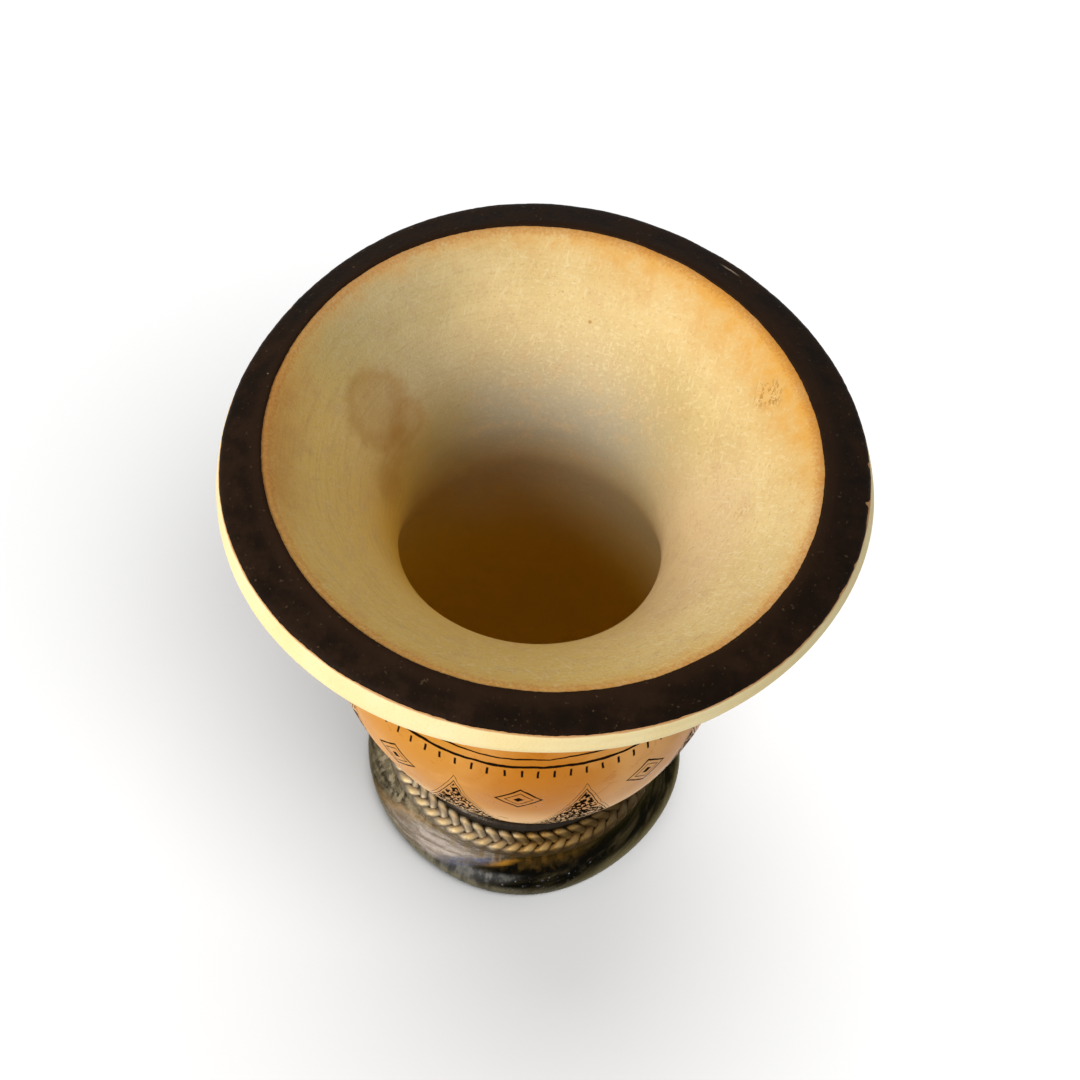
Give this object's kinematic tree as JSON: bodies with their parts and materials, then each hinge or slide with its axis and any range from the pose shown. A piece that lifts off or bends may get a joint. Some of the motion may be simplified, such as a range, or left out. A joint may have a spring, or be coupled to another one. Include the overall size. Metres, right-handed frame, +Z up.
{
  "type": "mate gourd",
  "caption": "Calabash drinking cup with a flared black-coated rim, a pale funnel mouth and a hollow amber belly, cemented into a dark metal foot ringed by a brass plait.",
  "frame": {"origin": "centre of the flat face under the foot", "axes": "+Z up along the cup's own axis, through the mouth; X and Y are free, because the cup is turned"},
  "size_m": [0.0912, 0.0912, 0.11],
  "materials": {
    "gourd": "amber varnish outside, bare sanded pith inside the funnel, tea-brown in the belly",
    "black_coat": "satin brown-black coat with fine scratches and chips",
    "foot_metal": "polished white metal, darkened and mottled with age",
    "plait_brass": "worn brass, dark between the strands",
    "cement": "cast plaster, matt"
  },
  "bodies": {
    "root": {"gourd_shell": "gourd", "rim_coat": "black_coat", "foot_cup": "foot_metal", "lip_wire": "foot_metal", "plait_ring": "plait_brass", "base_plate": "foot_metal", "cement_bed": "cement"}
  },
  "joints": []
}
